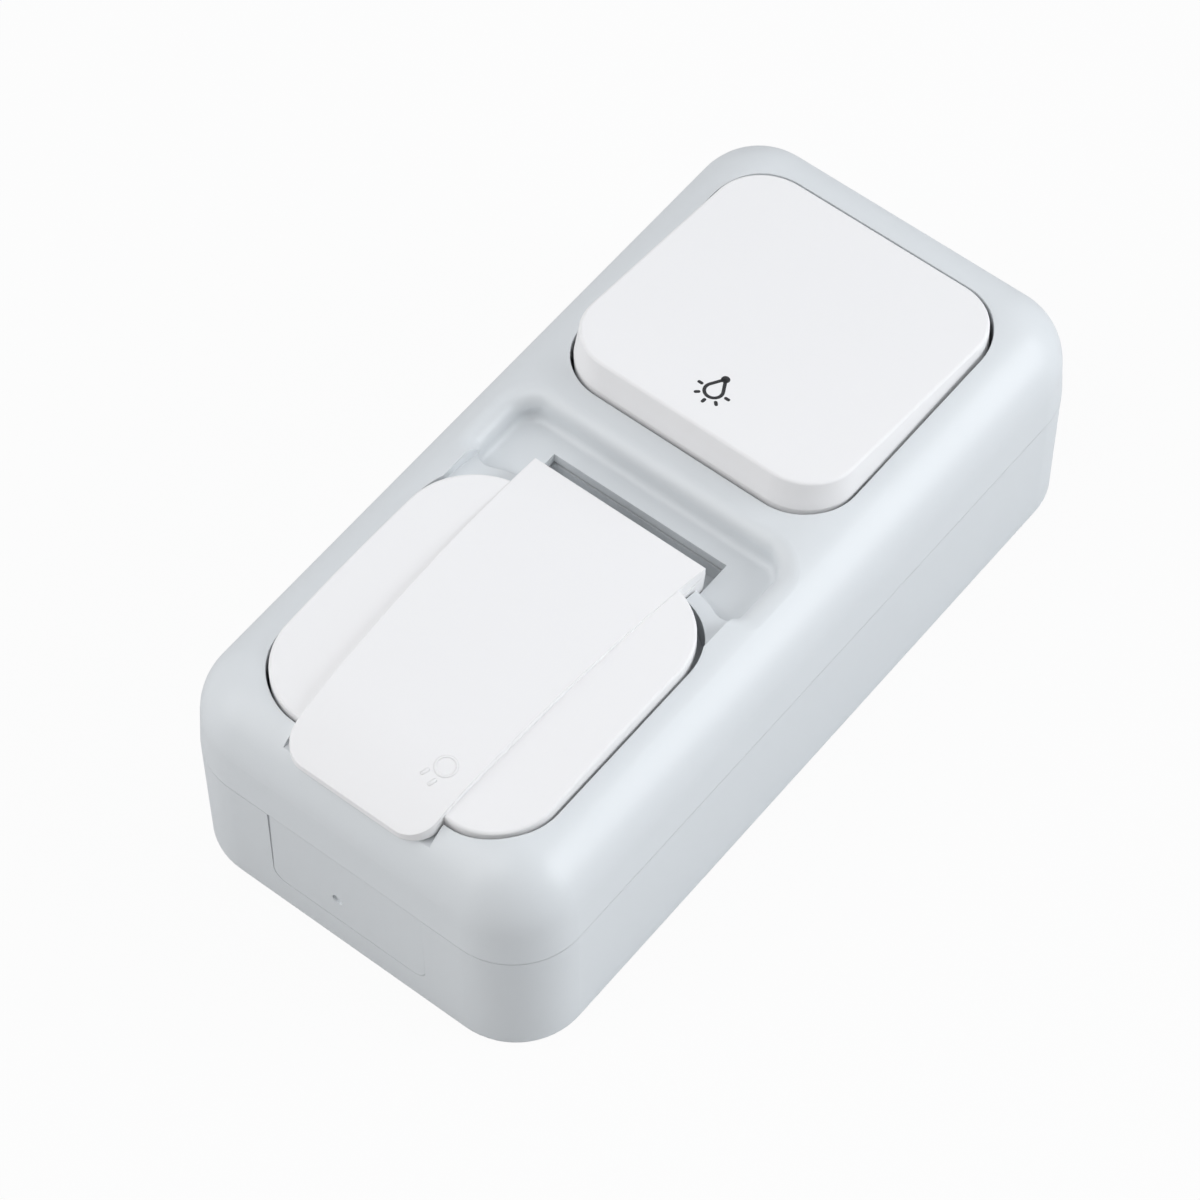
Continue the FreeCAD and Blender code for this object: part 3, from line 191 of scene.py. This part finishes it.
def buildDrawnLines():
    # the fine lines that rolling, drawing or brushing leaves on metal
    group, given, made = newGroup(
        "drawnLines",
        {"Line Scale": 2500.0, "Stain Scale": 180.0},
        ("Lines", "Stain"),
    )
    link = group.links.new
    place = addNode(group, "ShaderNodeTexCoord")
    stretch = addNode(group, "ShaderNodeMapping", {"Scale": (1.0, 0.04, 1.0)})
    lines = addNode(group, "ShaderNodeTexNoise", {"Detail": 4.0, "Roughness": 0.65})
    stain = addNode(group, "ShaderNodeTexNoise", {"Detail": 3.0})
    link(place.outputs["Object"], stretch.inputs["Vector"])
    link(stretch.outputs["Vector"], lines.inputs["Vector"])
    link(place.outputs["Object"], stain.inputs["Vector"])
    link(given.outputs["Line Scale"], lines.inputs["Scale"])
    link(given.outputs["Stain Scale"], stain.inputs["Scale"])
    link(lines.outputs["Fac"], made.inputs["Lines"])
    link(stain.outputs["Fac"], made.inputs["Stain"])
    return group


mouldGrain = buildMouldGrain()
edgeRubAndHighlight = buildEdgeRubAndHighlight()
dustFall = buildDustFall()
drawnLines = buildDrawnLines()
print("effects built")


# finishes

def newFinish(name):
    material = bpy.data.materials.new(name)
    material.use_nodes = True
    tree = material.node_tree
    return material, tree, tree.nodes["Principled BSDF"]


def placeGroup(tree, group, **values):
    node = addNode(tree, "ShaderNodeGroup", node_tree=group)
    for label, value in values.items():
        node.inputs[label.replace("_", " ")].default_value = value
    return node


def blendColours(tree, factor, first, second):
    node = addNode(tree, "ShaderNodeMix", data_type="RGBA")
    for index, value in ((0, factor), (6, first), (7, second)):
        if isinstance(value, bpy.types.NodeSocket):
            tree.links.new(value, node.inputs[index])
        elif index == 0:
            node.inputs[index].default_value = value
        else:
            node.inputs[index].default_value = (*value, 1.0)
    return node.outputs[2]


def mapRange(tree, value, low, high):
    # noise keeps mostly between 0.3 and 0.7
    span = {"From Min": 0.3, "From Max": 0.7, "To Min": low, "To Max": high}
    node = addNode(tree, "ShaderNodeMapRange", span)
    tree.links.new(value, node.inputs["Value"])
    return node.outputs["Result"]


def mouldedFinish(name, look):
    material, tree, surface = newFinish(name)
    grain = placeGroup(tree, mouldGrain, Grain_Scale=look["grainScale"], Flow_Share=look["flowShare"])
    rubAndHighlight = placeGroup(tree, edgeRubAndHighlight, Reach=look["edgeReach"])
    dust = placeGroup(tree, dustFall, Amount=look["dust"])
    body = blendColours(tree, grain.outputs["Drift"], look["colour"], look["otherColour"])
    # lighter colour along sharp edges: partly edge wear, partly painted edge highlight
    rubAndHighlightShare = mathNode(tree, "MULTIPLY", rubAndHighlight.outputs["Edge"], look["rubAndHighlight"])
    rubbedAndHighlighted = blendColours(tree, rubAndHighlightShare, body, look["rubAndHighlightColour"])
    dusty = blendColours(tree, dust.outputs["Dust"], rubbedAndHighlighted, look["dustColour"])
    tree.links.new(dusty, surface.inputs["Base Color"])
    rough = mapRange(tree, grain.outputs["Gloss"], *look["roughness"])
    dulled = mathNode(tree, "ADD", rough, dust.outputs["Dust"], clamp=True)
    tree.links.new(dulled, surface.inputs["Roughness"])
    rounded = addNode(tree, "ShaderNodeBevel", {"Radius": look["edgeReach"]}, samples=4)
    relief = {"Strength": look["grainStrength"], "Distance": look["grainDepth"]}
    bump = addNode(tree, "ShaderNodeBump", relief)
    tree.links.new(grain.outputs["Height"], bump.inputs["Height"])
    tree.links.new(rounded.outputs["Normal"], bump.inputs["Normal"])
    tree.links.new(bump.outputs["Normal"], surface.inputs["Normal"])
    surface.inputs["IOR"].default_value = look["ior"]
    return material


def metalFinish(name, look):
    material, tree, surface = newFinish(name)
    lines = placeGroup(tree, drawnLines, Line_Scale=look["lineScale"])
    rubAndHighlight = placeGroup(tree, edgeRubAndHighlight, Reach=look["edgeReach"])
    plate = blendColours(tree, lines.outputs["Stain"], look["colour"], look["otherColour"])
    # brighter colour along sharp edges: partly edge wear, partly painted edge highlight
    rubAndHighlightShare = mathNode(tree, "MULTIPLY", rubAndHighlight.outputs["Edge"], look["rubAndHighlight"])
    bright = blendColours(tree, rubAndHighlightShare, plate, look["rubAndHighlightColour"])
    tree.links.new(bright, surface.inputs["Base Color"])
    tree.links.new(mapRange(tree, lines.outputs["Lines"], *look["roughness"]), surface.inputs["Roughness"])
    relief = {"Strength": look["lineStrength"], "Distance": look["lineDepth"]}
    bump = addNode(tree, "ShaderNodeBump", relief)
    tree.links.new(lines.outputs["Lines"], bump.inputs["Height"])
    tree.links.new(bump.outputs["Normal"], surface.inputs["Normal"])
    surface.inputs["Metallic"].default_value = 1.0
    return material


plasticLook = {
    "grainScale": 9000.0,
    "grainStrength": 0.12,
    "grainDepth": 0.00002,
    "flowShare": 0.5,
    "edgeReach": 0.0002,
    # share of the lighter edge colour, partly edge wear and partly painted edge highlight
    "rubAndHighlight": 0.25,
    "dust": 0.05,
    "dustColour": (0.62, 0.60, 0.56),
    "ior": 1.5,
}
finishLooks = {
    "housing": {
        **plasticLook,
        "colour": (0.70, 0.725, 0.745),
        "otherColour": (0.72, 0.745, 0.76),
        "rubAndHighlightColour": (0.80, 0.82, 0.84),
        "roughness": (0.32, 0.40),
    },
    "front": {
        **plasticLook,
        "colour": (0.870, 0.862, 0.864),
        "otherColour": (0.888, 0.879, 0.880),
        "rubAndHighlightColour": (0.92, 0.92, 0.92),
        "rubAndHighlight": 0.08,
        "roughness": (0.52, 0.60),
        "ior": 1.4,
        "grainStrength": 0.2,
    },
    "inner_white": {
        **plasticLook,
        "colour": (0.80, 0.81, 0.81),
        "otherColour": (0.83, 0.835, 0.83),
        "rubAndHighlightColour": (0.88, 0.88, 0.88),
        "roughness": (0.38, 0.5),
        "grainStrength": 0.25,
    },
    "mechanism": {
        **plasticLook,
        "colour": (0.46, 0.47, 0.47),
        "otherColour": (0.50, 0.505, 0.50),
        "rubAndHighlightColour": (0.58, 0.58, 0.58),
        "roughness": (0.42, 0.55),
        "grainStrength": 0.3,
    },
    "seal": {
        **plasticLook,
        "colour": (0.022, 0.022, 0.023),
        "otherColour": (0.034, 0.034, 0.034),
        "rubAndHighlightColour": (0.07, 0.07, 0.07),
        "roughness": (0.62, 0.78),
        "grainStrength": 0.4,
        "dust": 0.2,
    },
}
metalLook = {
    "lineStrength": 0.25,
    "lineDepth": 0.00002,
    "edgeReach": 0.0002,
    # share of the brighter edge colour, partly edge wear and partly painted edge highlight
    "rubAndHighlight": 0.8,
}
metalLooks = {
    "steel": {
        **metalLook,
        "colour": (0.56, 0.56, 0.55),
        "otherColour": (0.64, 0.64, 0.63),
        "rubAndHighlightColour": (0.78, 0.78, 0.78),
        "roughness": (0.24, 0.42),
        "lineScale": 2600.0,
    },
    "brass": {
        **metalLook,
        "colour": (0.66, 0.47, 0.20),
        "otherColour": (0.74, 0.55, 0.27),
        "rubAndHighlightColour": (0.86, 0.70, 0.42),
        "roughness": (0.22, 0.38),
        "lineScale": 2200.0,
    },
}
finishes = {name: mouldedFinish(name + "Finish", look) for name, look in finishLooks.items()}
finishes.update({name: metalFinish(name + "Finish", look) for name, look in metalLooks.items()})
for subpart in frame["record"]["subparts"]:
    for materialSlot in cadNodes[subpart["node"]].material_slots:
        materialSlot.material = finishes[subpart["material_slot"]]


# lamp symbol, printed on the rocker

lampSymbol = {
    "place": (-0.1, 19.0),     # mm, middle of the bulb on the rocker
    "above": 60.0,             # it is drawn flat up here and dropped onto the rocker
    "bulbRadius": 1.85,
    "neckFrom": 0.55,          # share of the bulb that the neck starts at
    "neckLift": 1.38,
    "neckWidth": 0.34,         # what is left of the bulb's width there
    "neckFlat": 0.4,           # and of its height
    "line": 0.6,
    "capPlace": 3.15,
    "capRadius": 0.76,
    "rayMiddle": 2.72,
    "rayLength": 1.1,
    "rays": 5,
    "inkThickness": 0.02,
    "inkColour": (0.012, 0.012, 0.013),
    "otherInk": (0.0264, 0.0264, 0.0286),
    "inkRoughness": (0.4, 0.6),
    "inkGrain": 6000.0,
}


def dropOnto(piece, node, thickness, edge=0.0):
    # lay a flat outline on a CAD surface and give it a thickness
    target = cadNodes[node]
    startClean()
    piece.select_set(True)
    applyModifier(
        piece,
        "SHRINKWRAP",
        target=target,
        wrap_method="PROJECT",
        use_project_z=True,
        use_negative_direction=True,
        use_positive_direction=False,
    )
    applyModifier(piece, "SOLIDIFY", thickness=thickness, offset=1.0)
    if edge:
        applyModifier(
            piece, "BEVEL", width=edge, segments=2, limit_method="ANGLE", angle_limit=math.radians(50)
        )
    startClean()
    piece.select_set(True)
    bpy.context.view_layer.objects.active = piece
    bpy.ops.object.shade_smooth_by_angle(angle=math.radians(40))


def ringOutline(radius, line, height, vertices=48, shape=None):
    # a filled circle, shaped, then inset and opened to leave a line of even width
    startClean()
    bpy.ops.mesh.primitive_circle_add(
        vertices=vertices, radius=radius * mm, fill_type="NGON", location=(0, 0, height * mm)
    )
    ring = bpy.context.object
    bpy.ops.object.mode_set(mode="EDIT")
    if shape:
        shape(ring)
    bpy.ops.mesh.select_all(action="SELECT")
    bpy.ops.mesh.inset(thickness=line * mm, depth=0.0)
    bpy.ops.mesh.delete(type="FACE")
    bpy.ops.object.mode_set(mode="OBJECT")
    settle(ring)
    return ring


def strokeBar(width, length, middle, height, copies=1, sweep=0.0):
    # a short stroke, out along -Y, repeated round the middle
    startClean()
    bpy.ops.mesh.primitive_plane_add(size=mm, location=(0, 0, 0))
    bar = bpy.context.object
    bpy.ops.object.mode_set(mode="EDIT")
    bpy.ops.mesh.select_all(action="SELECT")
    bpy.ops.transform.resize(value=(width, length, 1.0))
    endRound = width * 0.48 * mm    # just short of a half circle
    bpy.ops.mesh.bevel(offset=endRound, segments=4, affect="VERTICES")
    bpy.ops.mesh.select_all(action="SELECT")
    bpy.ops.transform.translate(value=(0.0, -middle * mm, height * mm))
    if copies > 1:
        bpy.ops.transform.rotate(
            value=-sweep / 2, orient_axis="Z", center_override=(0.0, 0.0, height * mm)
        )
        bpy.ops.mesh.spin(
            steps=copies - 1, dupli=True, angle=sweep, center=(0.0, 0.0, height * mm), axis=(0.0, 0.0, 1.0)
        )
    bpy.ops.object.mode_set(mode="OBJECT")
    return bar


def makeLampSymbol(spec):
    height = spec["above"]
    radius = spec["bulbRadius"] * mm

    def drawNeck(ring):
        pick(ring, lambda co: co.y > radius * spec["neckFrom"])
        bpy.ops.transform.resize(
            value=(spec["neckWidth"], spec["neckFlat"], 1.0), center_override=(0.0, radius, height * mm)
        )
        bpy.ops.transform.translate(value=(0.0, spec["neckLift"] * mm, 0.0))

    bulb = ringOutline(spec["bulbRadius"], spec["line"], height, shape=drawNeck)
    rays = strokeBar(
        spec["line"], spec["rayLength"], spec["rayMiddle"], height, copies=spec["rays"], sweep=math.pi
    )
    startClean()
    bpy.ops.mesh.primitive_circle_add(
        vertices=24,
        radius=spec["capRadius"] * mm,
        fill_type="NGON",
        location=(0, spec["capPlace"] * mm, height * mm),
    )
    cap = bpy.context.object
    settle(cap)
    symbol = joinInto("lampSymbol", [bulb, rays, cap])
    symbol.location = (spec["place"][0] * mm, spec["place"][1] * mm, 0.0)
    settle(symbol)
    dropOnto(symbol, "rocker_cap", spec["inkThickness"] * mm)
    material, tree, surface = newFinish("symbolInk")
    grain = placeGroup(tree, mouldGrain, Grain_Scale=spec["inkGrain"])
    ink = blendColours(tree, grain.outputs["Gloss"], spec["inkColour"], spec["otherInk"])
    tree.links.new(ink, surface.inputs["Base Color"])
    rough = mapRange(tree, grain.outputs["Gloss"], *spec["inkRoughness"])
    tree.links.new(rough, surface.inputs["Roughness"])
    symbol.data.materials.clear()
    symbol.data.materials.append(material)
    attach(symbol, "rocker")
    return symbol


makeLampSymbol(lampSymbol)
print("lamp symbol printed")


# plug symbol, raised a little from the lid's band

plugSymbol = {
    "place": (9.75, -61.2),    # mm, middle of its ring on the band
    "turn": -21.0,             # degrees, seen from above
    "above": 60.0,
    "ringRadius": 2.0,
    "line": 0.5,
    "prongSpacing": 2.2,
    "prongWidth": 0.75,
    "prongLength": 1.7,
    "prongMiddle": 3.15,
    "height": 0.06,
    "softEdge": 0.025,
}


def makePlugSymbol(spec):
    height = spec["above"]
    ring = ringOutline(spec["ringRadius"], spec["line"], height, vertices=40)
    parts = [ring]
    for side in (-0.5, 0.5):
        prong = strokeBar(spec["prongWidth"], spec["prongLength"], spec["prongMiddle"], height)
        prong.location.x = side * spec["prongSpacing"] * mm
        settle(prong)
        parts.append(prong)
    symbol = joinInto("plugSymbol", parts)
    symbol.rotation_euler.z = math.radians(spec["turn"])
    symbol.location = (spec["place"][0] * mm, spec["place"][1] * mm, 0.0)
    settle(symbol)
    dropOnto(symbol, "lid_shell", spec["height"] * mm, spec["softEdge"] * mm)
    symbol.data.materials.clear()
    symbol.data.materials.append(finishes["front"])
    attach(symbol, "lid")
    return symbol


makePlugSymbol(plugSymbol)
print("plug symbol raised")


# camera, as the photograph was taken

cameraSetup = {
    "azimuth": 38.73,                 # degrees, round from the socket end
    "elevation": 56.32,
    "roll": -0.38,
    "lens": 150.0,                    # mm
    "sensor": 36.0,
    "clip": (0.01, 20.0),             # m
    "aim": (6.82, 7.05, 841.22),      # mm, the part's origin as the camera sees it: right, down, away
}


def makeCamera(setup):
    around, lift, roll = (math.radians(setup[key]) for key in ("azimuth", "elevation", "roll"))
    back = Vector((math.sin(around) * math.cos(lift), -math.cos(around) * math.cos(lift), math.sin(lift)))
    level = Vector((math.cos(around), math.sin(around), 0.0))
    steep = back.cross(level)
    right = level * math.cos(roll) + steep * math.sin(roll)
    up = steep * math.cos(roll) - level * math.sin(roll)
    across, down, away = (value * mm for value in setup["aim"])
    data = bpy.data.cameras.new("camera")
    data.lens = setup["lens"]
    data.sensor_width = setup["sensor"]
    data.clip_start, data.clip_end = setup["clip"]
    camera = bpy.data.objects.new("camera", data)
    bpy.context.collection.objects.link(camera)
    camera.matrix_world = Matrix((right, up, back)).transposed().to_4x4()
    camera.location = back * away - right * across + up * down
    bpy.context.scene.camera = camera


makeCamera(cameraSetup)


# floor, room and lamps

studio = {
    "floorSize": 8.0,
    "floorDrop": 0.0002,
    "floorColour": (0.62, 0.62, 0.62),
    "otherFloor": (0.6138, 0.6138, 0.6138),
    "floorGrain": 900.0,
    "floorRoughness": 0.9,
    "floorSpecular": 0.1,
    "floorGlow": 0.94,                 # share of the floor that the camera sees as plain white
    "roomColour": (0.95, 0.97, 1.0),
    "roomStrength": 0.66,
    "darkSide": (0.62, -0.78, 0.0),    # the dim side of the room, where the camera stands
    "darkShare": 1.0,
    "glossStrength": 0.75,
    "lamps": {
        # name: direction towards it, distance, width, watts, colour
        "sideLamp": ((0.82, 0.46, 0.40), 1.2, 1.0, 9.5, (0.94, 0.97, 1.0)),
        "endLamp": ((-0.52, -0.72, 0.46), 1.3, 1.0, 4.8, (1.0, 1.0, 1.0)),
        "topLamp": ((-0.08, -0.50, 0.86), 1.3, 0.8, 3.5, (1.0, 1.0, 1.0)),
    },
}


def makeStudio(setup):
    startClean()
    bpy.ops.mesh.primitive_grid_add(
        x_subdivisions=4, y_subdivisions=4, size=setup["floorSize"], location=(0, 0, -setup["floorDrop"])
    )
    floor = bpy.context.object
    floor.name = "floor"
    settle(floor)
    material, tree, surface = newFinish("floorFinish")
    paper = addNode(tree, "ShaderNodeTexNoise", {"Scale": setup["floorGrain"], "Detail": 3.0})
    place = addNode(tree, "ShaderNodeTexCoord")
    tree.links.new(place.outputs["Object"], paper.inputs["Vector"])
    tint = blendColours(tree, paper.outputs["Fac"], setup["floorColour"], setup["otherFloor"])
    tree.links.new(tint, surface.inputs["Base Color"])
    surface.inputs["Roughness"].default_value = setup["floorRoughness"]
    surface.inputs["Specular IOR Level"].default_value = setup["floorSpecular"]
    glow = addNode(tree, "ShaderNodeEmission", {"Color": (1.0, 1.0, 1.0, 1.0), "Strength": 1.0})
    rays = addNode(tree, "ShaderNodeLightPath")
    share = mathNode(tree, "MULTIPLY", rays.outputs["Is Camera Ray"], setup["floorGlow"])
    mixed = addNode(tree, "ShaderNodeMixShader")
    tree.links.new(share, mixed.inputs["Fac"])
    tree.links.new(surface.outputs["BSDF"], mixed.inputs[1])
    tree.links.new(glow.outputs["Emission"], mixed.inputs[2])
    tree.links.new(mixed.outputs["Shader"], tree.nodes["Material Output"].inputs["Surface"])
    floor.data.materials.append(material)

    world = bpy.data.worlds.new("room")
    bpy.context.scene.world = world
    world.use_nodes = True
    tree = world.node_tree
    air = tree.nodes["Background"]
    air.inputs["Color"].default_value = (*setup["roomColour"], 1.0)
    view = addNode(tree, "ShaderNodeTexCoord")
    facing = addNode(tree, "ShaderNodeVectorMath", {1: setup["darkSide"]}, operation="DOT_PRODUCT")
    tree.links.new(view.outputs["Generated"], facing.inputs[0])
    dim = mathNode(tree, "MULTIPLY", facing.outputs["Value"], setup["darkShare"], clamp=True)
    lit = mathNode(tree, "SUBTRACT", 1.0, dim)
    rays = addNode(tree, "ShaderNodeLightPath")
    extra = setup["glossStrength"] - setup["roomStrength"]    # what shiny faces see more of the room
    gloss = mathNode(tree, "MULTIPLY", rays.outputs["Is Glossy Ray"], extra)
    strength = mathNode(tree, "ADD", gloss, setup["roomStrength"])
    tree.links.new(mathNode(tree, "MULTIPLY", lit, strength), air.inputs["Strength"])
    white = addNode(tree, "ShaderNodeBackground", {"Color": (1.0, 1.0, 1.0, 1.0), "Strength": 1.0})
    seen = mathNode(tree, "MAXIMUM", rays.outputs["Is Camera Ray"], rays.outputs["Is Transmission Ray"])
    mixed = addNode(tree, "ShaderNodeMixShader")
    tree.links.new(seen, mixed.inputs["Fac"])
    tree.links.new(air.outputs["Background"], mixed.inputs[1])
    tree.links.new(white.outputs["Background"], mixed.inputs[2])
    tree.links.new(mixed.outputs["Shader"], tree.nodes["World Output"].inputs["Surface"])

    for name, (towards, distance, width, watts, colour) in setup["lamps"].items():
        data = bpy.data.lights.new(name, "AREA")
        data.shape = "DISK"
        data.size = width
        data.energy = watts
        data.color = colour
        lamp = bpy.data.objects.new(name, data)
        bpy.context.collection.objects.link(lamp)
        direction = Vector(towards).normalized()
        lamp.location = direction * distance
        lamp.rotation_euler = direction.to_track_quat("Z", "Y").to_euler()


makeStudio(studio)
bpy.context.scene.view_settings.view_transform = "Standard"
print("studio lit")

print("pieces in place")
